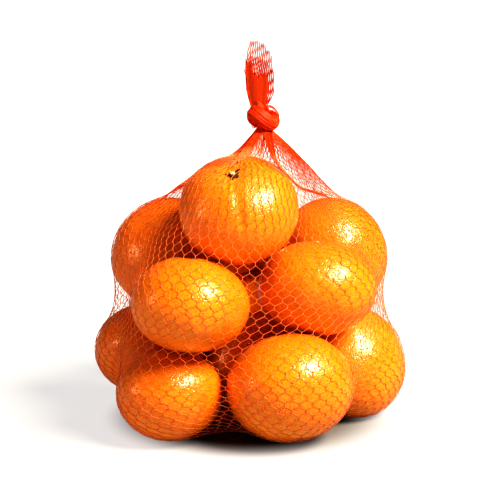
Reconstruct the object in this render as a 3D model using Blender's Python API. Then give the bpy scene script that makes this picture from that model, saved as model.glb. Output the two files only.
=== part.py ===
# Net of oranges: twelve small oranges pulled tight into a plastic net, tied off with one knot
# and a short ruffled tail. Metres, +Z up; it stands on z = 0, and x = y = 0 is the middle of it.

import bpy
import bmesh
import numpy as np
from math import asin, atan2, cos, pi, radians, sin
from mathutils import Matrix, Vector

MM = 0.001                      # every size below is in millimetres

# Each orange: centre x, y, z, its width across the segments, its height along the stem,
# and how far the stem leans from upright and towards which heading (degrees).
ORANGES = {
    "top":      (-6.0, -32.5, 127.0, 66.0, 55.0, 30, -105),
    "midLeft":  (-32.5, -55.0, 79.0, 64.5, 52.0, 18, 75),
    "midRight": (37.5, -27.0, 82.0, 66.5, 53.5, 15, 90),
    "farLeft":  (-47.5, 5.0, 96.0, 66.0, 54.0, 44, -130),
    "farRight": (49.5, 39.5, 87.0, 68.0, 61.0, 65, -20),
    "lowLeft":  (-56.5, 10.0, 37.5, 67.0, 54.0, 24, 105),
    "footLeft": (-44.0, -48.5, 26.0, 59.0, 50.0, 23, 85),
    "footRight": (22.0, -53.0, 32.0, 70.0, 59.0, 25, 110),
    "lowRight": (61.0, 2.0, 31.5, 64.5, 52.0, 68, -35),
    "inner":    (2.6, 7.5, 29.8, 59.8, 51.1, 65, 149),
    "backLow":  (6.2, 60.3, 46.0, 61.5, 52.5, 80, 74),
    "backTop":  (-8.6, 51.3, 99.2, 59.5, 49.6, 20, -170),
}

# The net around them
NET_CLEAR = 0.9                 # how far the middle of the net stands off the peel
BASE_FLAT = 40.0                # radius of the slack part that lies flat on the ground
RINGS = 54                      # rows of the net's skin, from the base to the neck
COLUMNS = 60
HOOP_PULL = 0.55                # tightness round the bag against tightness up and down
CREASE_DEPTH = 17.0             # how far the skin sinks into the gaps between the oranges
CREASE_SOFTENING = 4            # steps that round a crease off where it meets the peel
CREASE_FADE = (95.0, 140.0)     # heights between which the creases fade out, towards the neck
CREASE_FOOT = 18.0              # and the height below which they fade out, towards the ground
TIGHTENING = 900                # steps in which the net is drawn tight

# Straight folds where the net is drawn taut: from, to, and how thick each one is
TAUT_FOLDS = (
    ((12.4, -3.0, 166.0), (50.0, 38.0, 121.0), 2.0),
    ((-30.0, -31.0, 146.0), (-60.0, 0.0, 118.0), 1.5),
)

# The rays that the skin slides on leave the bag's own axis
BELLY_HEIGHT = 46.0             # where the rays below the belly start
BELLY_SHARE = 0.34              # share of the rows that are below it
NECK_PITCH = 52.0               # how steeply the rays climb at the neck (degrees)
NECK_CENTRE = (8.0, -5.0)       # where the bunched net goes into the knot
NECK_HEIGHT = 166.5
NECK_RADIUS = 4.9
NECK_PLEATS = 9
PLEAT_DEPTH = 0.16              # depth of the pleats against the neck's radius

# The overhand knot: a bunched core with one band drawn round it
KNOT_CENTRE = (7.2, -5.0, 174.4)
KNOT_CORE = (5.0, 5.0, 7.25)    # half sizes of the core
BAND_RADIUS = 5.0
BAND_THICK = 4.6
BAND_TILT = 28.0                # the band is higher on the left (degrees)
KNOT_GAP = 0.4

# The tail: a flattened tube of net, narrow at the knot, ruffled and torn at its end
TAIL_FOOT = (4.8, -5.0)
TAIL_TOP = 217.4
TAIL_LEAN = 1.2                 # how far its end has drifted to the right
TAIL_WIDTHS = (8.6, 16.0, 12.4) # at the knot, at its widest and at the end
TAIL_WIDEST = 0.42              # how far up it is widest
TAIL_FLAT = 0.58                # thickness against width
TAIL_PLEATS = 5
TAIL_ROWS = 12
TAIL_COLUMNS = 30
TORN_STEP = 2.2                 # how ragged the cut end is


def make_material(name, colour, roughness):
    material = bpy.data.materials.new(name)
    material.use_nodes = True
    shader = material.node_tree.nodes["Principled BSDF"]
    shader.inputs["Base Color"].default_value = (*colour, 1.0)
    shader.inputs["Roughness"].default_value = roughness
    shader.inputs["Metallic"].default_value = 0.0
    return material


def finish_part(name, mesh_source, material, collection):
    mesh = bpy.data.meshes.new(name)
    bmesh.ops.recalc_face_normals(mesh_source, faces=mesh_source.faces)
    mesh_source.to_mesh(mesh)
    mesh_source.free()
    mesh.materials.append(material)
    mesh.shade_smooth()
    mesh.set_sharp_from_angle(angle=radians(40))
    part = bpy.data.objects.new(name, mesh)
    collection.objects.link(part)
    return part


def smooth_step(t):
    t = min(max(t, 0.0), 1.0)
    return t * t * (3 - 2 * t)


def stem_direction(lean, heading):
    lean, heading = radians(lean), radians(heading)
    return np.array([sin(lean) * cos(heading), sin(lean) * sin(heading), cos(lean)])


# Where each row's rays start, and how steeply they climb
def ray_row(row):
    share = row / RINGS
    if share <= BELLY_SHARE:
        below = share / BELLY_SHARE
        start = (0.0, 0.0, BELLY_HEIGHT)
        return start, -0.5 * pi * (1 - below) ** 0.85
    above = (share - BELLY_SHARE) / (1 - BELLY_SHARE)
    lift = above ** 1.45
    top = NECK_HEIGHT - NECK_RADIUS * np.tan(radians(NECK_PITCH))
    drift = smooth_step(above * 1.25 - 0.25)
    start = (NECK_CENTRE[0] * drift, NECK_CENTRE[1] * drift,
             BELLY_HEIGHT + (top - BELLY_HEIGHT) * lift)
    return start, radians(NECK_PITCH) * min(1.0, above * 1.5)


def ray_fan():
    starts = np.zeros((RINGS + 1, COLUMNS, 3))
    ways = np.zeros((RINGS + 1, COLUMNS, 3))
    heading = np.arange(COLUMNS) * 2 * pi / COLUMNS
    for row in range(RINGS + 1):
        start, pitch = ray_row(row)
        starts[row] = start
        ways[row, :, 0] = np.cos(heading) * cos(pitch)
        ways[row, :, 1] = np.sin(heading) * cos(pitch)
        ways[row, :, 2] = sin(pitch)
    return starts, ways


# A form's own measure, in which its surface is at distance 1: its centre, and the matrix that
# squashes it to a ball from its reach across a line and along it
def own_measure(centre, line, across, along):
    return np.array(centre), np.eye(3) / across + np.outer(line, line) * (1 / along - 1 / across)


def enclosed_forms():
    forms = []
    for x, y, z, width, height, lean, heading in ORANGES.values():
        forms.append(own_measure((x, y, z), stem_direction(lean, heading), width / 2 + NET_CLEAR,
                                 height / 2 + NET_CLEAR))
    for start, end, thick in TAUT_FOLDS:
        start, end = np.array(start), np.array(end)
        length = np.linalg.norm(end - start)
        forms.append(own_measure((start + end) / 2, (end - start) / length, thick, length / 2))
    return forms


# How far along each ray the outermost peel or fold lies (0 where a ray meets none)
def outer_reach(starts, ways):
    reach = np.zeros(starts.shape[:2])
    for centre, squash in enclosed_forms():
        p, d = (starts - centre) @ squash, ways @ squash
        a, b, c = (d * d).sum(2), (p * d).sum(2), (p * p).sum(2) - 1
        inside = b * b - a * c
        hit = (-b + np.sqrt(np.maximum(inside, 0))) / a
        reach = np.maximum(reach, np.where(inside > 0, hit, 0))
    return reach


# The skin drawn tight: each point goes to the middle of its four neighbours, but stays on
# its ray, outside the peel and above the ground
def tight_skin():
    starts, ways = ray_fan()
    reach = outer_reach(starts, ways)
    down = np.minimum(ways[:, :, 2], -1e-6)
    ground = np.where(ways[:, :, 2] < -1e-6, -starts[:, :, 2] / down, 1e6)
    resting = ground * np.cos(np.arcsin(np.clip(down, -1, 1))) < BASE_FLAT
    heading = np.arange(COLUMNS) * 2 * pi / COLUMNS
    neck = NECK_RADIUS * (1 + PLEAT_DEPTH * np.cos(heading * NECK_PLEATS)) / cos(radians(NECK_PITCH))
    length = np.maximum(reach, 70.0 * (1 - np.linspace(0, 1, RINGS + 1)[:, None] ** 4))
    for step in range(TIGHTENING):
        length = np.where(resting, ground, np.clip(length, reach, ground))
        length[-1] = neck
        skin = starts + ways * length[:, :, None]
        hoop = (np.roll(skin, 1, 1) + np.roll(skin, -1, 1)) / 2
        middle = skin.copy()
        middle[1:-1] = (skin[:-2] + skin[2:]) / 2
        middle[1:-1] = (middle[1:-1] + HOOP_PULL * hoop[1:-1]) / (1 + HOOP_PULL)
        length = ((middle - starts) * ways).sum(2)
    length = np.maximum(length, reach)
    low, high = CREASE_FADE
    fade = np.clip((high - skin[:, :, 2]) / (high - low), 0, 1) * np.clip(skin[:, :, 2] / CREASE_FOOT, 0, 1)
    sink = CREASE_DEPTH * fade * (1 - np.exp((reach - length) / (1.5 * CREASE_DEPTH)))
    for step in range(CREASE_SOFTENING):
        rows, columns = (np.roll(sink, 1, axis) + np.roll(sink, -1, axis) for axis in (0, 1))
        sink = (2 * sink + rows + columns) / 6
    length -= sink
    length = np.where(resting, ground, np.clip(length, reach, ground))
    length[-1] = neck
    return starts + ways * length[:, :, None]


# A round sphere gives the rows, the columns and the two poles; each of its corners then moves
# to its own place on the skin
def make_net_bag(material, collection):
    skin = tight_skin()
    shell = bmesh.new()
    bmesh.ops.create_uvsphere(shell, u_segments=COLUMNS, v_segments=RINGS, radius=1.0)
    for corner in shell.verts:
        row = round((asin(max(-1.0, min(1.0, corner.co.z))) / pi + 0.5) * RINGS)
        column = round(atan2(corner.co.y, corner.co.x) / (2 * pi) * COLUMNS) % COLUMNS
        if row == 0:
            place = (0.0, 0.0, 0.0)
        elif row == RINGS:
            place = (*NECK_CENTRE, NECK_HEIGHT)
        else:
            place = skin[row, column]
        corner.co = Vector(place) * MM
    return finish_part("net_bag", shell, material, collection)


def make_knot(material, collection, cutters):
    centre = Vector(KNOT_CENTRE)
    core = bmesh.new()
    size = Matrix.Diagonal((*KNOT_CORE, 1.0))
    bmesh.ops.create_uvsphere(core, u_segments=20, v_segments=14, radius=1.0,
                              matrix=Matrix.Scale(MM, 4) @ Matrix.Translation(centre) @ size)
    knot = finish_part("knot", core, material, collection)
    bpy.ops.mesh.primitive_torus_add(major_radius=BAND_RADIUS * MM, minor_radius=BAND_THICK * MM,
                                     major_segments=28, minor_segments=14,
                                     location=centre * MM, rotation=(0, radians(BAND_TILT), 0))
    band = bpy.context.object
    band.name = "band_guide"
    band.hide_render = True
    band.display_type = 'WIRE'
    for owner in list(band.users_collection):
        owner.objects.unlink(band)
    cutters.objects.link(band)
    join = knot.modifiers.new("Band", 'BOOLEAN')
    join.operation = 'UNION'
    join.object = band
    return knot


def tail_width(up):
    foot, widest, end = TAIL_WIDTHS
    if up < TAIL_WIDEST:
        return foot + (widest - foot) * smooth_step(up / TAIL_WIDEST)
    return widest + (end - widest) * smooth_step((up - TAIL_WIDEST) / (1 - TAIL_WIDEST))


def make_tail(material, collection):
    foot = KNOT_CENTRE[2] + KNOT_CORE[2] + KNOT_GAP
    tube = bmesh.new()
    bmesh.ops.create_cone(tube, cap_ends=True, cap_tris=True, segments=TAIL_COLUMNS,
                          radius1=1.0, radius2=1.0, depth=1.0)
    uprights = [e for e in tube.edges if abs(e.verts[0].co.z - e.verts[1].co.z) > 0.5]
    bmesh.ops.subdivide_edges(tube, edges=uprights, cuts=TAIL_ROWS - 1, use_grid_fill=True)
    for corner in tube.verts:
        up = corner.co.z + 0.5
        turn = atan2(corner.co.y, corner.co.x)
        ruffle = 1 + 0.13 * up * sin(TAIL_PLEATS * turn + 3 * up)
        half = tail_width(up) / 2 * ruffle
        top = TAIL_TOP - TORN_STEP * (0.5 + 0.5 * sin(2 * turn + 1) * cos(5 * turn))
        corner.co = Vector((TAIL_FOOT[0] + TAIL_LEAN * up + corner.co.x * half,
                            TAIL_FOOT[1] + corner.co.y * half * TAIL_FLAT,
                            foot + (top - foot) * up)) * MM
    return finish_part("tail", tube, material, collection)


def main():
    for old in list(bpy.data.objects):
        bpy.data.objects.remove(old, do_unlink=True)
    parts = bpy.data.collections.new("net_of_oranges")
    cutters = bpy.data.collections.new("cutters")
    bpy.context.scene.collection.children.link(parts)
    bpy.context.scene.collection.children.link(cutters)
    peel = make_material("orange_peel", (0.90, 0.26, 0.01), 0.35)
    knot_plastic = make_material("knot_plastic", (0.90, 0.07, 0.01), 0.4)
    tail_plastic = make_material("tail_plastic", (0.90, 0.09, 0.01), 0.4)
    make_net_bag(peel, parts)
    make_knot(knot_plastic, parts, cutters)
    make_tail(tail_plastic, parts)


main()
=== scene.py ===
import math
import time
import bpy
import numpy as np
from mathutils import Matrix, Vector
from mathutils.bvhtree import BVHTree


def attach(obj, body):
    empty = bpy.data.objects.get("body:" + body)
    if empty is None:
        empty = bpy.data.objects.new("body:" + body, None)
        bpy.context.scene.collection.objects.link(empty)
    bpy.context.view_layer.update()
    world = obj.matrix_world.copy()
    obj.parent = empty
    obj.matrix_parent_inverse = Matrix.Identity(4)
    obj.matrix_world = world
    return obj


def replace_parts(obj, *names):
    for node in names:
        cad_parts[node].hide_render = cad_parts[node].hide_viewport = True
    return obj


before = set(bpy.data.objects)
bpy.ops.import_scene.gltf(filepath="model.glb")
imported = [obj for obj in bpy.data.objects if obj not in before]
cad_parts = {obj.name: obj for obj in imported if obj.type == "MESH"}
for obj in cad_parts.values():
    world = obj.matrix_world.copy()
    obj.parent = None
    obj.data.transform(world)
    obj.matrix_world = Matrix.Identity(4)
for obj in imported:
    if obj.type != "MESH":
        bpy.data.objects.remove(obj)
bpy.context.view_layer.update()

mm = 0.001
startTime = time.time()


def report(stage):
    print(f"{stage}: {time.time() - startTime:.1f} s")


def smoothStep(t):
    t = np.clip(t, 0.0, 1.0)
    return t * t * (3 - 2 * t)


# ---- materials: helpers ----

def linearColour(hexCode):
    parts = [int(hexCode[k:k + 2], 16) / 255 for k in (1, 3, 5)]
    return tuple(c / 12.92 if c <= 0.04045 else ((c + 0.055) / 1.055) ** 2.4 for c in parts) + (1.0,)


def addNode(tree, kind, settings, links=()):
    node = tree.nodes.new(kind)
    for key, value in settings.items():
        if isinstance(key, str) and hasattr(node, key):
            setattr(node, key, value)
        else:
            node.inputs[key].default_value = value
    for source, socket in links:
        tree.links.new(source, node.inputs[socket])
    return node


def newMaterial(name, settings):
    material = bpy.data.materials.new(name)
    material.use_nodes = True
    shader = material.node_tree.nodes["Principled BSDF"]
    for key, value in settings.items():
        shader.inputs[key].default_value = value
    return material, material.node_tree, shader


# Sweet orange peel, waxed and polished at packing: round oil glands make shallow pits that break a
# highlight into sparks, and the colour is a little uneven from fruit to fruit and from side to side
peelPlan = {
    "ripe": "#E27A12",
    "paler": "#EA961E",
    "pit": "#E4700C",
    "stemEnd": "#C98A1E",
    "pitSpacing": 1.35,      # mm between oil glands
    "pitDepth": 0.125,
    "lumpSpacing": 4.5,
    "lumpDepth": 0.42,
    "patchSize": 26.0,
    "roughness": 0.36,
}


def peelMaterial():
    material, tree, shader = newMaterial("waxed_orange_peel", {
        "Roughness": peelPlan["roughness"],
        "IOR": 1.46,
        "Specular IOR Level": 0.35,
        "Coat Weight": 0.75,
        "Coat Roughness": 0.2,
        "Coat IOR": 1.45,
        "Subsurface Weight": 0.12,
        "Subsurface Radius": (1.0, 0.32, 0.08),
        "Subsurface Scale": 0.0022,
    })
    place = addNode(tree, "ShaderNodeTexCoord", {}).outputs["Object"]
    patches = addNode(tree, "ShaderNodeTexNoise", {"Scale": 1000 / peelPlan["patchSize"], "Detail": 3.0},
                      [(place, "Vector")])
    glands = addNode(tree, "ShaderNodeTexVoronoi", {"Scale": 1000 / peelPlan["pitSpacing"]}, [(place, "Vector")])
    pits = addNode(tree, "ShaderNodeMapRange",
                   {"interpolation_type": "SMOOTHSTEP", "From Min": 0.05, "From Max": 0.55},
                   [(glands.outputs["Distance"], "Value")])
    lumps = addNode(tree, "ShaderNodeTexNoise", {"Scale": 1000 / peelPlan["lumpSpacing"], "Detail": 2.0},
                    [(place, "Vector")])
    ripeness = addNode(tree, "ShaderNodeAttribute", {"attribute_name": "ripeness"})
    stemEnd = addNode(tree, "ShaderNodeAttribute", {"attribute_name": "stemEnd"})
    spread = addNode(tree, "ShaderNodeMath", {"operation": "MULTIPLY_ADD", 1: 1.1},
                     [(patches.outputs["Fac"], 0), (ripeness.outputs["Fac"], 2)])
    skin = addNode(tree, "ShaderNodeMix", {"data_type": "RGBA", 6: linearColour(peelPlan["ripe"]),
                                           7: linearColour(peelPlan["paler"])},
                   [(spread.outputs[0], 0)])
    pitted = addNode(tree, "ShaderNodeMix", {"data_type": "RGBA", 6: linearColour(peelPlan["pit"])},
                     [(pits.outputs["Result"], 0), (skin.outputs[2], 7)])
    stemmed = addNode(tree, "ShaderNodeMix", {"data_type": "RGBA", 7: linearColour(peelPlan["stemEnd"])},
                      [(stemEnd.outputs["Fac"], 0), (pitted.outputs[2], 6)])
    tree.links.new(stemmed.outputs[2], shader.inputs["Base Color"])
    broad = addNode(tree, "ShaderNodeBump", {"Strength": 1.0, "Distance": peelPlan["lumpDepth"] * mm},
                    [(lumps.outputs["Fac"], "Height")])
    fine = addNode(tree, "ShaderNodeBump", {"Strength": 1.0, "Distance": peelPlan["pitDepth"] * mm},
                   [(pits.outputs["Result"], "Height"), (broad.outputs["Normal"], "Normal")])
    tree.links.new(fine.outputs["Normal"], shader.inputs["Normal"])
    tree.links.new(fine.outputs["Normal"], shader.inputs["Coat Normal"])
    return material


# Polyethylene net, extruded through turning dies and stretched: smooth and fairly glossy. Where it is stretched
# thin it lets light through, and its paler colour there is partly the thin plastic's own tone and partly painted
# sheen and painted light shining through; where it is slack or bunched it is deeper.
netFinish = {
    # the stretched colour's paleness is partly the thin plastic's own and partly painted sheen and shine-through
    "stretched": "#FF8C5C",
    "slack": "#FC4C0A",
    "streak": 9.0,           # mm between paler and deeper stretches
    "streakShare": 0.25,
    "roughness": 0.42,
}


def netMaterial():
    material, tree, shader = newMaterial("extruded_polyethylene_net", {
        "Roughness": netFinish["roughness"],
        "IOR": 1.51,
        "Specular IOR Level": 0.3,
        "Transmission Weight": 0.15,
        "Subsurface Weight": 0.5,
        "Subsurface Radius": (1.0, 0.25, 0.08),
        "Subsurface Scale": 0.002,
    })
    place = addNode(tree, "ShaderNodeTexCoord", {}).outputs["Object"]
    slack = addNode(tree, "ShaderNodeAttribute", {"attribute_name": "slack"})
    streaks = addNode(tree, "ShaderNodeTexNoise", {"Scale": 1000 / netFinish["streak"], "Detail": 2.0},
                      [(place, "Vector")])
    depth = addNode(tree, "ShaderNodeMath", {"operation": "MULTIPLY_ADD", 1: netFinish["streakShare"],
                                             "use_clamp": True},
                    [(streaks.outputs["Fac"], 0), (slack.outputs["Fac"], 2)])
    colour = addNode(tree, "ShaderNodeMix", {"data_type": "RGBA", 6: linearColour(netFinish["stretched"]),
                                             7: linearColour(netFinish["slack"])},
                     [(depth.outputs[0], 0)])
    tree.links.new(colour.outputs[2], shader.inputs["Base Color"])
    return material


# Dried calyx and stem scar: matt, fibrous plant matter, dark green-brown lobes round a pale woody button
stemFinish = {"lobes": "#2C2812", "lobeTips": "#6A4E1C", "button": "#C9C69A", "buttonPith": "#EFE9CF"}


def plantMaterial(name, colourA, colourB, grain):
    material, tree, shader = newMaterial(name, {"Roughness": 0.8, "IOR": 1.45, "Specular IOR Level": 0.3})
    place = addNode(tree, "ShaderNodeTexCoord", {}).outputs["Object"]
    fibres = addNode(tree, "ShaderNodeTexNoise", {"Scale": 1000 / grain, "Detail": 4.0, "Roughness": 0.7},
                     [(place, "Vector")])
    colour = addNode(tree, "ShaderNodeMix", {"data_type": "RGBA", 6: linearColour(colourA),
                                             7: linearColour(colourB)},
                     [(fibres.outputs["Fac"], 0)])
    bump = addNode(tree, "ShaderNodeBump", {"Strength": 1.0, "Distance": 0.0003},
                   [(fibres.outputs["Fac"], "Height")])
    tree.links.new(colour.outputs[2], shader.inputs["Base Color"])
    tree.links.new(bump.outputs["Normal"], shader.inputs["Normal"])
    return material


peel = peelMaterial()
plastic = netMaterial()
lobeLook = plantMaterial("dried_calyx", stemFinish["lobes"], stemFinish["lobeTips"], 0.8)
buttonLook = plantMaterial("stem_scar", stemFinish["button"], stemFinish["buttonPith"], 0.7)

# Each orange: centre x, y, z, width across the segments, height along the stem (mm),
# lean of the stem from upright and the heading it leans towards (degrees)
oranges = {
    "top": (-6.0, -32.5, 127.0, 66.0, 55.0, 30, -105),
    "midLeft": (-32.5, -55.0, 79.0, 64.5, 52.0, 13, 75),
    "midRight": (37.5, -27.0, 82.0, 66.5, 53.5, 11, 90),
    "farLeft": (-47.5, 5.0, 96.0, 66.0, 54.0, 136, 50),
    "farRight": (49.5, 39.5, 87.0, 68.0, 61.0, 115, 160),
    "lowLeft": (-56.5, 10.0, 37.5, 67.0, 54.0, 24, 105),
    "footLeft": (-44.0, -48.5, 26.5, 59.0, 50.0, 23, 85),
    "footRight": (22.0, -53.0, 32.0, 70.0, 59.0, 25, 110),
    "lowRight": (61.0, 2.0, 31.5, 64.5, 52.0, 112, 145),
    "inner": (1.6, 6.0, 30.9, 60.5, 51.5, 65, 149),
    "backLow": (6.2, 60.3, 46.0, 61.5, 52.5, 80, 74),
    "backTop": (-7.0, 51.0, 99.8, 61.0, 51.2, 20, -170),
}

fruitPlan = {
    "segments": 128,
    "rings": 84,
    "dimple": (2.2, 10.0),       # depth and reach of the hollow round the stem (mm)
    "blossomEnd": (0.9, 8.0),
    "creases": 7,                # short furrows that run into the stem's hollow
    "creaseFrom": 0.10,          # furrow, from and to, in radians from the stem
    "creaseTo": 0.36,
    "creaseSink": (0.55, 2.6),
    "lumps": ((1.6, 24.0), (0.5, 9.0)),      # height and size of the peel's unevenness
    "ripeness": {"top": 0.05, "midLeft": 0.0, "midRight": 0.1, "farLeft": -0.25, "farRight": 0.0,
                 "lowLeft": -0.3, "footLeft": -0.1, "footRight": 0.1, "lowRight": 0.15,
                 "inner": 0.0, "backLow": -0.1, "backTop": 0.05},
    # long furrows down a fruit: side they run on (degrees round the stem), from, to, sink, reach
    "furrows": {"top": ((21, 0.20, 1.05, 0.9, 3.6),), "footRight": ((250, 0.4, 0.9, 0.5, 4.0),),
                "backTop": ((40, 0.3, 1.0, 0.8, 4.5),)},
}


def stemTurn(lean, heading):
    return Matrix.Rotation(math.radians(heading), 4, "Z") @ Matrix.Rotation(math.radians(lean), 4, "Y")


def editMove(fruit, pick, move, reach):
    mesh = fruit.data
    bpy.ops.object.mode_set(mode="EDIT")
    bpy.ops.mesh.select_all(action="DESELECT")
    bpy.ops.object.mode_set(mode="OBJECT")
    mesh.vertices.foreach_set("select", pick)
    bpy.ops.object.mode_set(mode="EDIT")
    bpy.ops.transform.translate(value=move, use_proportional_edit=True, use_proportional_connected=True,
                                proportional_edit_falloff="SMOOTH", proportional_size=reach)
    bpy.ops.object.mode_set(mode="OBJECT")


def makeOrange(name, spec, seed):
    x, y, z, width, height, lean, heading = spec
    bpy.ops.object.select_all(action="DESELECT")
    bpy.ops.mesh.primitive_uv_sphere_add(segments=fruitPlan["segments"], ring_count=fruitPlan["rings"],
                                         radius=width / 2 * mm)
    fruit = bpy.context.object
    fruit.name = "orange_" + name
    bpy.ops.object.mode_set(mode="EDIT")
    bpy.ops.mesh.select_all(action="SELECT")
    bpy.ops.transform.resize(value=(1, 1, height / width))
    bpy.ops.mesh.select_mode(type="VERT")
    bpy.ops.object.mode_set(mode="OBJECT")
    places = np.zeros(len(fruit.data.vertices) * 3)
    fruit.data.vertices.foreach_get("co", places)
    places = places.reshape(-1, 3)
    ball = places * (1, 1, width / height) / (width / 2 * mm)
    fromStem = np.arccos(np.clip(ball[:, 2], -1, 1))
    round_ = np.degrees(np.arctan2(ball[:, 1], ball[:, 0]))
    depth, reach = fruitPlan["dimple"]
    editMove(fruit, fromStem < 0.01, (0, 0, -depth * mm), reach * mm)
    depth, reach = fruitPlan["blossomEnd"]
    editMove(fruit, fromStem > math.pi - 0.01, (0, 0, depth * mm), reach * mm)
    furrows = list(fruitPlan["furrows"].get(name, ()))
    rng = np.random.default_rng(seed)
    sink, reach = fruitPlan["creaseSink"]
    for k in range(fruitPlan["creases"]):
        side = (k + rng.uniform(-0.25, 0.25)) * 360 / fruitPlan["creases"]
        furrows.append((side, fruitPlan["creaseFrom"], fruitPlan["creaseTo"] * rng.uniform(0.7, 1.3),
                        sink * rng.uniform(0.6, 1.3), reach))
    for side, first, last, sink, reach in furrows:
        off = np.abs((round_ - side + 180) % 360 - 180)
        pick = (off <= 181 / fruitPlan["segments"]) & (fromStem > first) & (fromStem < last)
        middle = (first + last) / 2
        inward = -Vector((math.sin(middle) * math.cos(math.radians(side)),
                          math.sin(middle) * math.sin(math.radians(side)), math.cos(middle)))
        editMove(fruit, pick, inward * sink * mm, reach * mm)
    fruit.data.transform(Matrix.Translation(Vector((x, y, z)) * mm) @ stemTurn(lean, heading))
    for k, (high, size) in enumerate(fruitPlan["lumps"]):
        clouds = bpy.data.textures.new(f"{name}_lumps_{k}", "CLOUDS")
        clouds.noise_scale = size * mm
        clouds.noise_depth = 1
        lumps = fruit.modifiers.new("lumps", "DISPLACE")
        lumps.texture = clouds
        lumps.texture_coords = "LOCAL"
        lumps.strength = high * mm
        lumps.mid_level = 0.5
        bpy.ops.object.modifier_apply(modifier=lumps.name)
    bpy.ops.object.shade_smooth()
    fruit.data.materials.append(peel)
    for key, values in (("ripeness", np.full(len(fromStem), fruitPlan["ripeness"][name])),
                        ("stemEnd", 0.8 * (1 - smoothStep((fromStem - 0.04) / 0.22)) ** 1.5)):
        fruit.data.attributes.new(key, "FLOAT", "POINT").data.foreach_set("value", values)
    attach(fruit, "root")
    return fruit


fruits = {name: makeOrange(name, spec, k + 11) for k, (name, spec) in enumerate(oranges.items())}
report("oranges")

# The scar where each fruit was cut from its stem, with the star of its dried calyx
stemPlan = {
    "lobes": 5,
    "radius": 3.7,
    "waist": 0.36,           # the star's inner corners, as a share of its radius
    "thick": 0.7,
    "button": (0.7, 0.9),   # radius and height of the stem's stump
    "sizes": {"top": 1.85, "midLeft": 1.3, "midRight": 1.1},
}


def makeStem(name, fruit, spec):
    x, y, z, width, height, lean, heading = spec
    size = stemPlan["sizes"].get(name, 1.0)
    bpy.ops.object.select_all(action="DESELECT")
    bpy.ops.mesh.primitive_circle_add(vertices=stemPlan["lobes"] * 4, radius=stemPlan["radius"] * size * mm,
                                      fill_type="TRIFAN")
    star = bpy.context.object
    star.name = "calyx_" + name
    for vertex in star.data.vertices:
        turn = math.atan2(vertex.co.y, vertex.co.x)
        bay = 0.5 + 0.5 * math.cos(stemPlan["lobes"] * turn + seedOf(name))
        flat = vertex.co.length
        vertex.co *= stemPlan["waist"] + (1 - stemPlan["waist"]) * bay ** 0.8
        vertex.co.z = 0.10 * flat * math.sin(3 * turn + seedOf(name)) - 0.12 * flat
    thick = star.modifiers.new("thick", "SOLIDIFY")
    thick.thickness = stemPlan["thick"] * size * mm
    thick.offset = 0
    smooth = star.modifiers.new("smooth", "SUBSURF")
    smooth.levels = smooth.render_levels = 2
    for modifier in list(star.modifiers):
        bpy.ops.object.modifier_apply(modifier=modifier.name)
    radius, tall = stemPlan["button"]
    bpy.ops.object.select_all(action="DESELECT")
    bpy.ops.mesh.primitive_cylinder_add(vertices=14, radius=radius * size * mm, depth=tall * size * mm,
                                        location=(0, 0, 0.35 * tall * size * mm))
    button = bpy.context.object
    button.name = "stem_" + name
    button.data.transform(button.matrix_world)
    button.matrix_world = Matrix.Identity(4)
    bpy.ops.object.mode_set(mode="EDIT")
    bpy.ops.mesh.select_all(action="DESELECT")
    bpy.ops.mesh.select_mode(type="FACE")
    bpy.ops.object.mode_set(mode="OBJECT")
    for face in button.data.polygons:
        face.select = face.normal.z > 0.9
    bpy.ops.object.mode_set(mode="EDIT")
    bpy.ops.mesh.inset(thickness=0.25 * radius * size * mm)
    bpy.ops.transform.translate(value=(0, 0, -0.22 * size * mm))
    bpy.ops.object.mode_set(mode="OBJECT")
    edge = button.modifiers.new("edge", "BEVEL")
    edge.width = 0.22 * size * mm
    edge.segments = 2
    bpy.ops.object.modifier_apply(modifier=edge.name)
    stem = stemTurn(lean, heading) @ Vector((0, 0, 1))
    hit, normal, face, far = BVHTree.FromObject(fruit, bpy.context.evaluated_depsgraph_get()).ray_cast(
        Vector((x, y, z)) * mm + stem * height * mm, -stem)
    for piece, look in ((star, lobeLook), (button, buttonLook)):
        piece.data.transform(Matrix.Translation(hit + stem * 0.0002) @ stemTurn(lean, heading))
        piece.data.materials.append(look)
        piece.data.shade_smooth()
        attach(piece, "root")


def seedOf(name):
    return list(oranges).index(name) * 0.7


for name, spec in oranges.items():
    makeStem(name, fruits[name], spec)
report("stems")

# The skin that the net is laid out on, drawn tight over the oranges
skinPlan = {
    "rows": 120,
    "columns": 152,
    "clear": 0.5,            # mm from the peel to the middle of a thread
    "ground": 0.35,          # mm from the ground to the middle of a thread
    "slackRadius": 34.0,     # the net under the bag lies flat inside this radius
    "hoopPull": 0.55,        # tightness round the bag against up and down
    "waist": 3.0,            # how much tighter it is towards the knot, and from where on the way up
    "waistFrom": 0.7,
    "steps": 1100,
    "bellyHeight": 46.0,
    "bellyShare": 0.34,
    "neckPitch": 52.0,       # degrees
    "neckCentre": (8.0, -5.0),
    "neckHeight": 166.5,
    "neckRadius": 4.7,
    "tuck": ((2.0, 0.86), (4.0, 0.62)),      # the net runs on up into the knot: how far, how wide
    # straight taut folds, from and to (mm), and how thick each one is
    "tautFolds": (((12.4, -3.0, 166.0), (50.0, 38.0, 121.0), 2.0),
                  ((-30.0, -31.0, 146.0), (-60.0, 0.0, 118.0), 1.5)),
}

# The net itself: openings like stretched honeycomb, two threads fused at each side of an opening
netPlan = {
    "cellsRound": 72,
    "fused": 1.75,           # mm, length of a fused stretch
    "single": 4.28,          # mm, single thread between two fused stretches
    "fusedRadius": 0.165,
    "singleRadius": 0.11,
    "slackFrom": (118.0, 140.0),     # heights between which the net slackens where it hangs
    "slackClear": (2.0, 8.0),        # free of the fruit (mm); its threads are thicker there
    "slackThick": 1.25,
    "beside": 0.12,          # mm, half the distance between the two threads where they are fused
    "lean": 0.0007,          # how much the openings wind round the bag, share of a turn for each mm up
    "leanFrom": 60.0,
    "slip": 0.10,            # mm, how unevenly the openings are stretched
    "gatherRadius": 4.0,     # mm, where the net is bunched under the bag
}

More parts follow.
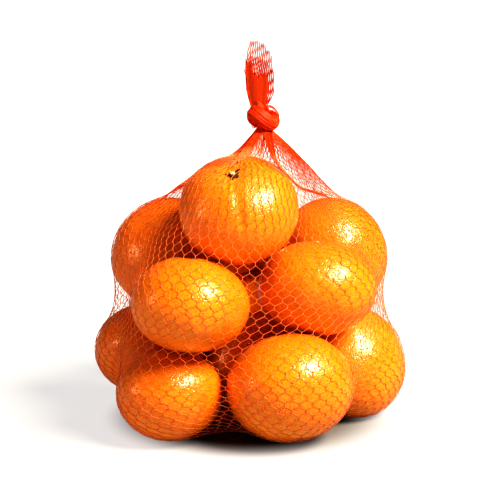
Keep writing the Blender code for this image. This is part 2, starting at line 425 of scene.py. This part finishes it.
# Folds that gather the net towards the knot: the places each one runs through from the knot down
# (mm), the share of the ring it gathers, how strongly, how far it stands out (mm), and the cord of
# bunched strands along it: how many, and half its width at the knot and at its end (mm)
folds = {
    # the cord that lies along the top fruit's right shoulder
    "shoulder": {"route": ((8.6, -6.4, 171.0), (9.4, -7.6, 167.0), (10.3, -13.8, 163.0), (11.6, -20.0, 158.4),
                           (13.4, -26.5, 153.8), (18.0, -32.2, 148.4), (22.4, -31.3, 143.5),
                           (27.5, -26.3, 137.9), (34.0, -14.8, 133.9), (40.7, -2.3, 130.0), (46.0, 6.0, 126.0)),
                 "spread": 0.055, "pull": 1.0, "ridge": 0.4, "strands": 26, "halfWidth": (2.7, 0.6)},
    # the band on the left of the see-through corner
    "left": {"route": ((6.8, -6.8, 171.0), (5.9, -8.0, 167.0), (3.8, -11.8, 164.4), (0.6, -18.8, 160.6),
                       (-3.2, -28.4, 157.1), (-7.4, -37.5, 154.7), (-12.0, -43.0, 151.8)),
             "spread": 0.13, "pull": 1.0, "ridge": 0.4, "strands": 24, "halfWidth": (1.7, 2.2)},
    # a thin one behind it
    "backLeft": {"route": ((5.0, -3.0, 171.0), (4.2, -2.4, 167.0), (-8.0, 4.0, 152.0), (-20.0, 12.0, 139.0),
                           (-32.0, 20.0, 126.0)),
                 "spread": 0.10, "pull": 1.0, "ridge": 0.3, "strands": 7, "halfWidth": (0.9, 0.5)},
}


# A smooth curve through a few places, with evenly spaced points
def smoothRoute(places, spacing):
    places = np.array(places, float)
    ends = np.vstack([2 * places[0] - places[1], places, 2 * places[-1] - places[-2]])
    points = []
    for a, b, c, d in zip(ends[:-3], ends[1:-2], ends[2:-1], ends[3:]):
        for t in np.linspace(0, 1, 24, endpoint=False):
            points.append(0.5 * (2 * b + (c - a) * t + (2 * a - 5 * b + 4 * c - d) * t ** 2
                                 + (3 * b - a - 3 * c + d) * t ** 3))
    points = np.array(points + [places[-1]])
    run = np.concatenate([[0], np.cumsum(np.linalg.norm(np.diff(points, axis=0), axis=1))])
    at = np.linspace(0, run[-1], int(round(run[-1] / spacing)) + 1)
    return np.stack([np.interp(at, run, points[:, k]) for k in range(3)], axis=1)


# Turns a place into a form's own measure, where its surface is at distance 1: round a line, with
# one reach across it and one along it
def ownMeasure(centre, line, across, along):
    return np.array(centre, float), np.eye(3) / across + np.outer(line, line) * (1 / along - 1 / across)


def peelMeasure(spec, clear):
    x, y, z, width, height, lean, heading = spec
    return ownMeasure((x, y, z), np.array(stemTurn(lean, heading).col[2][:3]), width / 2 + clear,
                      height / 2 + clear)


def foldMeasure(start, end, thick):
    start, end = np.array(start), np.array(end)
    length = np.linalg.norm(end - start)
    return ownMeasure((start + end) / 2, (end - start) / length, thick, length / 2)


def rayFan():
    rows, columns = skinPlan["rows"], skinPlan["columns"]
    belly, share = skinPlan["bellyHeight"], skinPlan["bellyShare"]
    pitchTop = math.radians(skinPlan["neckPitch"])
    top = skinPlan["neckHeight"] - skinPlan["neckRadius"] * math.tan(pitchTop)
    t = np.linspace(0, 1, rows + 1)
    below = np.clip(t / share, 0, 1)
    above = np.clip((t - share) / (1 - share), 0, 1)
    pitch = np.where(t <= share, -0.5 * np.pi * (1 - below) ** 0.85, pitchTop * np.minimum(1, above * 1.5))
    drift = smoothStep(above * 1.25 - 0.25)
    heading = np.arange(columns) * 2 * np.pi / columns + np.pi / 2
    starts = np.zeros((rows + 1, columns, 3))
    starts[:, :, 0] = (skinPlan["neckCentre"][0] * drift)[:, None]
    starts[:, :, 1] = (skinPlan["neckCentre"][1] * drift)[:, None]
    starts[:, :, 2] = (belly + (top - belly) * above ** 1.45)[:, None]
    ways = np.zeros_like(starts)
    ways[:, :, 0] = np.cos(pitch)[:, None] * np.cos(heading)
    ways[:, :, 1] = np.cos(pitch)[:, None] * np.sin(heading)
    ways[:, :, 2] = np.sin(pitch)[:, None]
    return starts, ways


# Each point of the skin slides on its own ray, pulled to the middle of its neighbours and kept
# outside the fruit and above the ground
def tightSkin():
    starts, ways = rayFan()
    forms = [peelMeasure(spec, skinPlan["clear"]) for spec in oranges.values()]
    forms += [foldMeasure(*fold) for fold in skinPlan["tautFolds"]]
    reach = np.zeros(starts.shape[:2])
    for centre, squash in forms:
        p, d = (starts - centre) @ squash, ways @ squash
        a, b, c = (d * d).sum(2), (p * d).sum(2), (p * p).sum(2) - 1
        under = b * b - a * c
        reach = np.maximum(reach, np.where(under > 0, (-b + np.sqrt(np.maximum(under, 0))) / a, 0))
    down = np.minimum(ways[:, :, 2], -1e-6)
    ground = np.where(ways[:, :, 2] < -1e-6, -(starts[:, :, 2] - skinPlan["ground"]) / down, 1e6)
    resting = ground * np.sqrt(1 - down * down) < skinPlan["slackRadius"]
    neck = skinPlan["neckRadius"] / math.cos(math.radians(skinPlan["neckPitch"]))
    length = np.maximum(reach, 70 * (1 - np.linspace(0, 1, skinPlan["rows"] + 1)[:, None] ** 4))
    upwards = np.linspace(0, 1, skinPlan["rows"] + 1)[1:-1, None, None]
    hoopPull = skinPlan["hoopPull"] * (1 + skinPlan["waist"] * smoothStep((upwards - skinPlan["waistFrom"]) / 0.15))
    for step in range(skinPlan["steps"]):
        length = np.where(resting, ground, np.clip(length, reach, ground))
        length[-1] = neck
        skin = starts + ways * length[:, :, None]
        hoop = (np.roll(skin, 1, 1) + np.roll(skin, -1, 1)) / 2
        middle = skin.copy()
        middle[1:-1] = ((skin[:-2] + skin[2:]) / 2 + hoopPull * hoop[1:-1]) / (1 + hoopPull)
        length = ((middle - starts) * ways).sum(2)
    length = np.where(resting, ground, np.clip(length, reach, ground))
    length[-1] = neck
    skin = starts + ways * length[:, :, None]
    middle = skin[-1].mean(0)
    tucked = [(skin[-1] - middle) * size + middle + (0, 0, rise) for rise, size in skinPlan["tuck"]]
    return np.concatenate([skin, tucked])


def ringRun(ring):
    closed = np.vstack([ring, ring[:1]])
    return closed, np.concatenate([[0], np.cumsum(np.linalg.norm(np.diff(closed, axis=0), axis=1))])


# Where a closed ring stands at each share of its own length
def alongRing(ring, shares):
    closed, run = ringRun(ring)
    at = (shares % 1.0) * run[-1]
    return np.stack([np.interp(at, run, closed[:, k]) for k in range(3)], axis=1)


# How far each thread's share of a ring is moved, to bunch the net into pleats near the knot
def pleatShift(shares, ring):
    shift, lift = np.zeros_like(shares), np.zeros_like(shares)
    closed, run = ringRun(ring)
    for fold in folds.values():
        way, spread = smoothRoute(fold["route"], 1.0), fold["spread"]
        far = np.linalg.norm(ring[:, None] - way[None], axis=2)
        column, step = np.unravel_index(far.argmin(), far.shape)
        strength = 1 - float(smoothStep((far[column, step] - 2.5) / 5))
        strength *= 1 - float(smoothStep((step / len(way) - 0.72) / 0.28))
        if strength <= 0:
            continue
        middle = run[column] / run[-1]
        away = (shares - middle + 0.5) % 1.0 - 0.5
        bell = np.exp(-(away / spread) ** 2)
        shift -= strength * fold["pull"] * away * bell
        lift += strength * fold["ridge"] * bell
    return shift, lift


# Lays the honeycomb on the skin: an even share of each ring for each thread, and rows as close
# together as the openings' sideways stretch leaves them
def layNet(skin):
    around = netPlan["cellsRound"] * 2
    lengths = np.array([ringRun(ring)[1][-1] for ring in skin])
    steps = np.linalg.norm(np.diff(skin, axis=0), axis=2).mean(1)
    first = int(np.argmax(lengths > 2 * np.pi * netPlan["gatherRadius"]))
    rise = np.sqrt(np.maximum(netPlan["single"] ** 2 - (lengths / around) ** 2, 0.45 ** 2))
    pitch = netPlan["fused"] + rise
    count = np.concatenate([[0], np.cumsum(steps / ((pitch[1:] + pitch[:-1]) / 2))])
    count -= count[first]
    rows = int(round(count[-1]))
    places = np.arange(len(skin))
    at = np.interp(np.arange(rows + 1) * count[-1] / rows, count, places)
    perPlace = np.interp(at, places[:-1] + 0.5, 1 / steps)
    half = np.interp(at, places, rise) * perPlace / 2
    shares = np.arange(around) / around
    even = np.zeros((len(skin), around, 3))
    for place, ring in enumerate(skin):
        height = ring[:, 2].mean()
        wound = shares + netPlan["lean"] * max(height - netPlan["leanFrom"], 0)
        shift, lift = pleatShift(wound, ring)
        even[place] = alongRing(ring, wound + shift)
        out = even[place] - ring.mean(0)
        out[:, 2] = 0
        even[place] += out / np.maximum(np.linalg.norm(out, axis=1), 1e-6)[:, None] * lift[:, None]
    rng = np.random.default_rng(5)
    nodes = np.zeros((rows + 1, around, 3))
    for j in range(rows + 1):
        for parity, side in ((0, 1), (1, -1)):
            picks = np.arange((j + parity) % 2, around, 2)
            wander = rng.normal(0, netPlan["slip"], len(picks)) * perPlace[j]
            place = np.clip(at[j] + side * half[j] + wander, 0, len(skin) - 1.001)
            low = place.astype(int)
            share = (place - low)[:, None]
            nodes[j, picks] = even[low, picks] * (1 - share) + even[low + 1, picks] * share
    return nodes


# Keeps the threads just clear of the real peel, bumps and all
def clearOfPeel(points, trees, clear):
    flat = points.reshape(-1, 3)
    for tree, centre, reach in trees:
        near = np.flatnonzero(np.linalg.norm(flat - centre, axis=1) < reach)
        for k in near:
            spot, normal, face, far = tree.find_nearest(Vector(flat[k]) * mm)
            gap = (Vector(flat[k]) * mm - spot).dot(normal)
            if gap < clear * mm:
                flat[k] += np.array(normal) * (clear - gap / mm)
    return flat.reshape(points.shape)


# How slack the net is at some places: stretched on the fruit, slack where it hangs free near the knot
def slackAt(points):
    gap = np.full(len(points), 99.0)
    for spec in oranges.values():
        centre, squash = peelMeasure(spec, 0)
        gap = np.minimum(gap, (np.linalg.norm((points - centre) @ squash, axis=1) - 1) * spec[3] / 2)
    low, high = netPlan["slackFrom"]
    near, free = netPlan["slackClear"]
    return smoothStep((points[:, 2] - low) / (high - low)) * smoothStep((gap - near) / (free - near))


# One thread of the net runs up and to one side: along a fused stretch, over a single stretch, and
# so on. Where it is fused it crosses its neighbour from one side to the other.
def threadPaths(nodes, way):
    rows, around = nodes.shape[:2]
    gap = netPlan["beside"]
    paths = []
    for k in range(0, around, 2):
        points = []
        for j in range(rows - 1):
            i = (k + way * j) % around
            ahead, behind = (i + way) % around, (i - way) % around
            low, high = nodes[j, i], nodes[j + 1, i]
            sideways = nodes[j + 1, ahead] - nodes[j, behind]
            sideways = sideways / max(np.linalg.norm(sideways), 1e-6)
            middle = (high + nodes[j + 1, ahead]) / 2
            points += [low - sideways * gap, high + sideways * gap, middle]
        paths.append(np.array(points))
    return paths


def threadMesh(name, paths, radii, sides=6):
    curve = bpy.data.curves.new(name, "CURVE")
    curve.dimensions = "3D"
    curve.bevel_depth = mm
    curve.bevel_resolution = (sides - 4) // 2
    curve.use_fill_caps = True
    for path, radius in zip(paths, radii):
        spline = curve.splines.new("POLY")
        spline.points.add(len(path) - 1)
        spline.points.foreach_set("co", np.column_stack([path * mm, np.ones(len(path))]).ravel())
        spline.points.foreach_set("radius", radius)
    piece = bpy.data.objects.new(name, curve)
    bpy.context.collection.objects.link(piece)
    bpy.ops.object.select_all(action="DESELECT")
    piece.select_set(True)
    bpy.context.view_layer.objects.active = piece
    bpy.ops.object.convert(target="MESH")
    piece.data.materials.clear()
    piece.data.materials.append(plastic)
    piece.data.shade_smooth()
    places = np.zeros(len(piece.data.vertices) * 3)
    piece.data.vertices.foreach_get("co", places)
    piece.data.attributes.new("slack", "FLOAT", "POINT").data.foreach_set("value",
                                                                          slackAt(places.reshape(-1, 3) / mm))
    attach(piece, "root")
    triangles = sum(len(face.vertices) - 2 for face in piece.data.polygons)
    print(name, triangles, "triangles")
    return piece


skin = tightSkin()
report("skin")
nodes = layNet(skin)
graph = bpy.context.evaluated_depsgraph_get()
trees = [(BVHTree.FromObject(fruits[name], graph), np.array(spec[:3]), spec[3] / 2 + 2)
         for name, spec in oranges.items()]
nodes = clearOfPeel(nodes, trees, 0.26)
report("net laid out")
fusedRadius, singleRadius = netPlan["fusedRadius"], netPlan["singleRadius"]
for way, word in ((1, "right"), (-1, "left")):
    paths = threadPaths(nodes, way)
    radii = [np.tile([fusedRadius, fusedRadius, singleRadius], len(path) // 3)
             * (1 + (netPlan["slackThick"] - 1) * slackAt(path)) for path in paths]
    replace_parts(threadMesh("net_threads_" + word, paths, radii), "net_bag")
report("net")


# Two directions across a route at each of its points, turning as little as they can
def routeFrames(route, side):
    ways = np.gradient(route, axis=0)
    ways /= np.linalg.norm(ways, axis=1)[:, None]
    across = np.zeros_like(route)
    across[0] = side - ways[0] * (side @ ways[0])
    across[0] /= np.linalg.norm(across[0])
    for k in range(1, len(route)):
        across[k] = across[k - 1] - ways[k] * (across[k - 1] @ ways[k])
        across[k] /= np.linalg.norm(across[k])
    return ways, across, np.cross(ways, across)


# The gathered strands of a fold, laid side by side on the skin and woven past each other; they end
# one after another where the fold opens out
def cordPaths(fold, seed):
    route = smoothRoute(fold["route"], 0.8)
    centre = np.array([0.0, 0.0, 96.0])
    ways = np.gradient(route, axis=0)
    ways /= np.linalg.norm(ways, axis=1)[:, None]
    out = route - centre
    out -= ways * (out * ways).sum(1)[:, None]
    out /= np.linalg.norm(out, axis=1)[:, None]
    sideways = np.cross(ways, out)
    share = np.linspace(0, 1, len(route))
    wide, narrow = fold["halfWidth"]
    half = wide + (narrow - wide) * smoothStep(share / 0.45)
    half *= 1 + 0.5 * smoothStep((share - 0.8) / 0.2)
    rng = np.random.default_rng(seed)
    strands = fold["strands"]
    paths = []
    for k in range(strands):
        seat = (k + 0.5) / strands * 2 - 1
        weave = 1.1 / strands * np.sin(np.pi * (np.arange(len(route)) * 0.8 / rng.uniform(3.4, 4.4) + k))
        across = (seat + weave + 0.06 * np.sin(share * rng.uniform(4, 9) + seat * 3)) * half
        stack = 0.32 * ((k * 7) % 3) * (1 - 0.6 * share) + 0.25 * np.sin(seat * 6 + share * 5) + 0.35
        last = int(len(route) * (1 - 0.45 * abs(seat) * rng.uniform(0.3, 1.0)))
        path = route + sideways * across[:, None] + out * stack[:, None]
        paths.append(path[:max(last, 6)])
    return paths


cords = [path for k, fold in enumerate(folds.values()) for path in cordPaths(fold, k)]
cords = [clearOfPeel(path, trees, 0.3) for path in cords]
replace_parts(threadMesh("net_gathered_folds", cords, [np.full(len(path), 0.24) for path in cords]), "net_bag")
report("folds")

knotPlan = {
    "centre": (7.2, -5.0, 174.4),
    # the route of the bunched net through the overhand knot, from the knot's centre (mm)
    "route": ((1.7, 0.0, -9.5), (1.5, 0.8, -6.5), (1.3, 1.6, -3.4), (1.8, 2.6, -1.0), (4.0, 2.0, -0.2),
              (6.0, -0.8, -1.6), (5.0, -3.6, -3.4), (0.8, -5.0, -1.0), (-3.4, -4.2, 2.2), (-5.6, -0.8, 3.0),
              (-4.8, 3.2, -0.4), (-0.4, 4.8, -2.8), (2.6, 3.4, -1.8), (0.9, 2.2, 1.4), (-1.6, 0.4, 5.4),
              (-3.0, -0.2, 9.6)),
    "radius": 3.4,
    "lobes": 7,
    "lobeDepth": 0.05,
    "ragged": 0.32,          # mm that single strands stand in or out
    "tuckedIn": 0.45,        # how thin it is where it runs into the neck and the tail
    "flatten": 0.22,         # how much each turn is pressed flat against the others
    "spacing": 0.9,          # mm between the points of a strand
    "strandRadius": 0.26,
    "weave": 3.2,            # mm, how often a strand changes sides with its neighbour
}


# Strands that run along the bunched net through the knot, side by side round its pleated outline
def knotPaths():
    route = smoothRoute(knotPlan["route"], knotPlan["spacing"])
    ways, across, over = routeFrames(route, np.array([1.0, 0.0, 0.0]))
    outward = route - ways * (route * ways).sum(1)[:, None]
    far = np.linalg.norm(outward, axis=1)
    outward /= np.maximum(far, 1e-6)[:, None]
    press = knotPlan["flatten"] * smoothStep((far - 1.5) / 2.5)
    sideways = np.cross(ways, outward)
    run = np.arange(len(route)) * knotPlan["spacing"]
    strands = netPlan["cellsRound"] * 2
    deep, lobes = knotPlan["lobeDepth"], knotPlan["lobes"]
    rng = np.random.default_rng(8)
    paths = []
    for k in range(strands):
        phase = run / knotPlan["weave"] + k
        share = (k + 0.42 * np.sin(phase * np.pi)) / strands
        turn = share * 2 * np.pi + 0.02 * run
        reach = knotPlan["radius"] * (1 - deep + deep * np.cos(turn * lobes) + 0.07 * np.sin(3 * turn + run * 0.12))
        reach += knotPlan["ragged"] * np.sin(run / rng.uniform(4, 9) + rng.uniform(0, 6))
        ends = np.minimum(smoothStep(run / 5), smoothStep((run[-1] - run) / 6))
        reach *= knotPlan["tuckedIn"] + (1 - knotPlan["tuckedIn"]) * ends
        offset = across * (np.cos(turn) * reach)[:, None] + over * (np.sin(turn) * reach)[:, None]
        offset -= outward * (press * (offset * outward).sum(1))[:, None]
        offset += sideways * (0.6 * press * (offset * sideways).sum(1))[:, None]
        paths.append(route + offset + np.array(knotPlan["centre"]))
    return paths


paths = knotPaths()
for word, some in (("one", paths[0::2]), ("two", paths[1::2])):
    radii = [np.full(len(path), knotPlan["strandRadius"]) for path in some]
    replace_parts(threadMesh("knot_strands_" + word, some, radii), "knot")

# A few strands that stand off the knot and the tail (mm, from the knot's centre)
looseStrands = (
    ((0.6, -2.6, 6.0), (2.6, -2.8, 6.7), (4.8, -2.6, 6.4), (7.0, -2.2, 4.6), (8.8, -1.4, 1.6), (8.4, -0.8, -0.8)),
    ((1.4, -2.2, 6.2), (3.4, -2.0, 7.0), (5.6, -1.6, 6.2), (7.7, -1.2, 3.8), (8.9, -0.8, 1.2), (8.2, 0.2, -0.8)),
    ((1.0, -3.0, 5.4), (3.0, -3.0, 6.3), (5.2, -2.8, 5.6), (7.4, -2.0, 3.2), (8.6, -1.8, 0.2), (8.0, -1.6, -1.6)),
    ((1.8, -1.6, 5.0), (3.8, -1.4, 6.2), (6.2, -1.0, 5.2), (8.1, -0.6, 2.8), (8.8, -0.2, 0.2), (8.0, 0.4, -1.4)),
    ((-5.2, -3.6, -1.2), (-6.2, -4.4, -3.2), (-5.4, -4.8, -5.2), (-3.8, -4.6, -4.6), (-2.6, -4.2, -3.2)),
    ((-4.4, -3.8, -2.0), (-5.2, -4.6, -3.9), (-4.6, -4.9, -4.9), (-3.2, -4.6, -4.2)),
    ((-8.8, -1.4, 22.4), (-9.8, -1.8, 24.8), (-10.5, -2.2, 27.2)),
)
paths = [smoothRoute(strand, 0.7) + np.array(knotPlan["centre"]) for strand in looseStrands]
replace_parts(threadMesh("loose_strands", paths, [np.full(len(path), 0.2) for path in paths]), "knot")
report("knot")

# Under the bag the threads are melted together into a small flat button
footPlan = {"radius": 5.0, "thick": 0.9, "foot": 0.1, "dent": 0.35, "lump": 0.5, "lumpSize": 3.0}
bpy.ops.object.select_all(action="DESELECT")
bpy.ops.mesh.primitive_cylinder_add(vertices=48, radius=footPlan["radius"] * mm, depth=footPlan["thick"] * mm,
                                    location=(0, 0, (footPlan["foot"] + footPlan["thick"] / 2) * mm))
weld = bpy.context.object
weld.name = "net_foot_weld"
weld.data.transform(weld.matrix_world)
weld.matrix_world = Matrix.Identity(4)
bpy.ops.object.mode_set(mode="EDIT")
bpy.ops.mesh.select_all(action="DESELECT")
bpy.ops.mesh.select_mode(type="FACE")
bpy.ops.object.mode_set(mode="OBJECT")
for face in weld.data.polygons:
    face.select = face.normal.z > 0.9
bpy.ops.object.mode_set(mode="EDIT")
for step in range(3):
    bpy.ops.mesh.inset(thickness=footPlan["radius"] * 0.22 * mm)
bpy.ops.transform.translate(value=(0, 0, -footPlan["dent"] * mm))
bpy.ops.object.mode_set(mode="OBJECT")
edge = weld.modifiers.new("edge", "BEVEL")
edge.width = 0.3 * mm
edge.segments = 3
bpy.ops.object.modifier_apply(modifier=edge.name)
clouds = bpy.data.textures.new("weld_lumps", "CLOUDS")
clouds.noise_scale = footPlan["lumpSize"] * mm
lumps = weld.modifiers.new("lumps", "DISPLACE")
lumps.texture = clouds
lumps.texture_coords = "LOCAL"
lumps.direction = "X"
lumps.strength = footPlan["lump"] * mm
bpy.ops.object.modifier_apply(modifier=lumps.name)
weld.data.shade_smooth()
weld.data.materials.append(plastic)
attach(weld, "root")
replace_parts(weld, "net_bag")
report("foot weld")

# The tail above the knot: most of the net is cut off low as a thick pleated bundle, and one open
# layer stands on above it. Edges are (height, left, right) in mm.
tailPlan = {
    "depthAt": -5.0,
    "bundle": ((178.5, 1.2, 8.4), (182.0, 0.2, 8.8), (187.0, -1.2, 9.6), (192.0, -2.0, 10.0),
               (200.0, -2.4, 10.0), (207.0, -2.2, 9.8)),
    "bundleStrands": 132,
    "bundleDepth": 1.5,
    "folds": 5,
    "foldDepth": 0.14,
    "cutLow": 198.3,
    "cutHigh": 205.8,
    "cutHighTo": 1.4,        # the bundle stands higher left of here
    "ragged": 0.9,
    "sheet": ((178.5, 1.6, 8.4), (184.0, -0.6, 11.4), (189.0, -1.8, 13.2), (194.0, -2.2, 13.4),
              (200.0, -2.2, 12.9), (207.0, -2.2, 12.0), (217.4, 0.2, 11.2)),
    "sheetColumns": 25,
    "sheetPitch": 5.4,
    "sheetFused": 1.8,
    "sheetTop": 217.0,
    "sheetSlope": 0.36,      # how much higher each thread's turns are than its left neighbour's (mm)
    "sheetSway": 0.07,       # how much its threads lean to the right
    "backTop": 208.5,        # where the layer behind it is cut
    "sheetFall": 6.6,        # how much lower its right corner is cut
}


def edgesAt(edges, height):
    heights, lefts, rights = np.array(edges).T
    return np.interp(height, heights, lefts), np.interp(height, heights, rights)


def bundlePaths():
    rng = np.random.default_rng(21)
    strands = tailPlan["bundleStrands"]
    paths = []
    for k in range(strands):
        turn = (k + 0.5) / strands * 2 * np.pi
        low, high = edgesAt(tailPlan["bundle"], tailPlan["cutLow"])
        x = (low + high) / 2 + (high - low) / 2 * math.cos(turn)
        tall = 1 - float(smoothStep((x - tailPlan["cutHighTo"] + 0.5) / 1.6))
        cut = tailPlan["cutLow"] + (tailPlan["cutHigh"] - tailPlan["cutLow"]) * tall
        cut += tailPlan["ragged"] * (math.sin(2.3 * x + 1) + rng.uniform(-0.9, 0.9))
        height = np.arange(tailPlan["bundle"][0][0], cut, 1.1)
        share = turn + 0.42 * 2 * np.pi / strands * np.sin(np.pi * (height / rng.uniform(4, 7) + rng.uniform(0, 2)))
        left, right = edgesAt(tailPlan["bundle"], height)
        depth = tailPlan["bundleDepth"] * (0.8 * np.sin(share)
                                           + tailPlan["foldDepth"] * np.sin(tailPlan["folds"] * share + 0.8))
        paths.append(np.column_stack([(left + right) / 2 + (right - left) / 2 * np.cos(share),
                                      tailPlan["depthAt"] + depth, height]))
    return paths


# One open layer of the net, seen flat: its threads turn back at the two side edges
def sheetPaths(behind, upTo, shift):
    columns, pitch, fused = tailPlan["sheetColumns"], tailPlan["sheetPitch"], tailPlan["sheetFused"]
    bottom = tailPlan["sheet"][0][0] - behind
    slope = tailPlan["sheetSlope"]
    first, rows = -int(slope * columns / pitch) - 1, int((upTo - bottom) / pitch) + 2
    paths = []
    for start in range(0, 2 * (columns - 1), 2):
        fold = lambda c: abs((c + columns - 1) % (2 * columns - 2) - columns + 1)
        points = []
        for j in range(first, rows):
            base = bottom + j * pitch
            here, ahead = fold(start + j), fold(start + j + 1)
            for column, height in ((here, base), (here, base + fused), ((here + ahead) / 2, base + (pitch + fused) / 2)):
                share = (column + shift) / (columns - 1 + shift)
                height += slope * column + 0.4 * math.sin(1.7 * column + 0.9 * j)
                top = upTo - tailPlan["sheetFall"] * share ** 3.2 + 0.3 * math.sin(5 * share)
                left, right = edgesAt(tailPlan["sheet"], height)
                y = tailPlan["depthAt"] + behind + 2.4 * math.sin(math.pi * share) - 1.2
                share += tailPlan["sheetSway"] * math.sin(math.pi * share) * (height - bottom) / (upTo - bottom)
                points.append((left + (right - left) * share, y, height, bottom <= height <= top))
        points = [p[:3] for p in points if p[3]]
        paths.append(np.array(points))
    return paths


for name, paths, radius in (("tail_bundle", bundlePaths(), 0.25),
                            ("tail_open_layer", sheetPaths(0.0, tailPlan["sheetTop"], 0.0), 0.21),
                            ("tail_back_layer", sheetPaths(1.6, tailPlan["backTop"], 1.0), 0.21)):
    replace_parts(threadMesh(name, paths, [np.full(len(path), radius) for path in paths]), "tail")
report("tail")

# camera
view = {"target": (0.0, -5.0, 98.8), "distance": 1000.0, "height": 12.0, "lens": 127.0}
camera = bpy.data.objects.new("camera", bpy.data.cameras.new("camera"))
bpy.context.collection.objects.link(camera)
camera.data.lens = view["lens"]
camera.data.sensor_width = 36
target = Vector(view["target"]) * mm
back = Vector((0, -math.cos(math.radians(view["height"])), math.sin(math.radians(view["height"]))))
camera.location = target + back * view["distance"] * mm
camera.rotation_euler = back.to_track_quat("Z", "Y").to_euler()
bpy.context.scene.camera = camera

# A white sweep for a floor: matt, and bright enough by itself to show no edge. It is a grey plane that glows, and
# its glow fades out towards the bag's middle as painted shade under the bag.
studio = {
    "floorGlow": 0.46,
    "glowFrom": 52.0,        # mm from the bag's middle, where the floor's own glow begins and is full
    "glowTo": 88.0,
    # share of the floor's glow left out of glossy reflections: painted dim reflection
    "glossyGlowCut": 0.85,
    "floorColour": "#737373",
    "white": 0.68,           # the brightness that comes out as pure white
    "skyLight": 0.07,
    # direction towards the light, strength, apparent size (degrees), colour
    "key": ((0.58, -0.36, 0.74), 5.8, 25, "#FFF1DC"),
    "fill": ((-0.95, -0.18, 0.24), 0.60, 16, "#FFCDAA"),
    "front": ((-0.12, -1.0, 0.06), 0.15, 45, "#FFE3CC"),
}
bpy.ops.object.select_all(action="DESELECT")
bpy.ops.mesh.primitive_plane_add(size=12)
floor = bpy.context.object
floor.name = "floor"
sweep, tree, shader = newMaterial("painted_white_sweep", {"Base Color": linearColour(studio["floorColour"]),
                                                         "Roughness": 0.9, "Specular IOR Level": 0.1,
                                                         "Emission Color": (1, 1, 1, 1)})
place = addNode(tree, "ShaderNodeTexCoord", {}).outputs["Object"]
outFrom = addNode(tree, "ShaderNodeVectorMath", {"operation": "LENGTH"}, [(place, 0)])
# the floor's glow fades to nothing under the bag: painted shade beneath it
glow = addNode(tree, "ShaderNodeMapRange", {"interpolation_type": "SMOOTHSTEP", "From Min": studio["glowFrom"] * mm,
                                            "From Max": studio["glowTo"] * mm, "To Max": studio["floorGlow"]},
               [(outFrom.outputs["Value"], "Value")])
# in glossy surfaces most of the sweep's glow is left out: a painted dimmer reflection of the floor
rays = addNode(tree, "ShaderNodeLightPath", {})
dimmed = addNode(tree, "ShaderNodeMath", {"operation": "MULTIPLY_ADD", 1: -studio["glossyGlowCut"], 2: 1.0},
                 [(rays.outputs["Is Glossy Ray"], 0)])
shown = addNode(tree, "ShaderNodeMath", {"operation": "MULTIPLY"},
                [(glow.outputs["Result"], 0), (dimmed.outputs[0], 1)])
tree.links.new(shown.outputs[0], shader.inputs["Emission Strength"])
floor.data.materials.append(sweep)
world = bpy.data.worlds.new("white_studio")
bpy.context.scene.world = world
world.use_nodes = True
tree = world.node_tree
tree.nodes["Background"].inputs["Color"].default_value = (1, 1, 1, 1)
rays = addNode(tree, "ShaderNodeLightPath", {})
level = addNode(tree, "ShaderNodeMapRange", {"To Min": studio["skyLight"], "To Max": studio["white"]},
                [(rays.outputs["Is Camera Ray"], "Value")])
tree.links.new(level.outputs["Result"], tree.nodes["Background"].inputs["Strength"])
for name in ("key", "fill", "front"):
    towards, strength, size, colour = studio[name]
    light = bpy.data.objects.new(name, bpy.data.lights.new(name, "SUN"))
    bpy.context.collection.objects.link(light)
    light.data.energy = strength
    light.data.angle = math.radians(size)
    light.data.color = linearColour(colour)[:3]
    light.rotation_euler = Vector(towards).to_track_quat("Z", "Y").to_euler()
bpy.context.scene.view_settings.view_transform = "Standard"
bpy.context.scene.view_settings.look = "Very High Contrast"
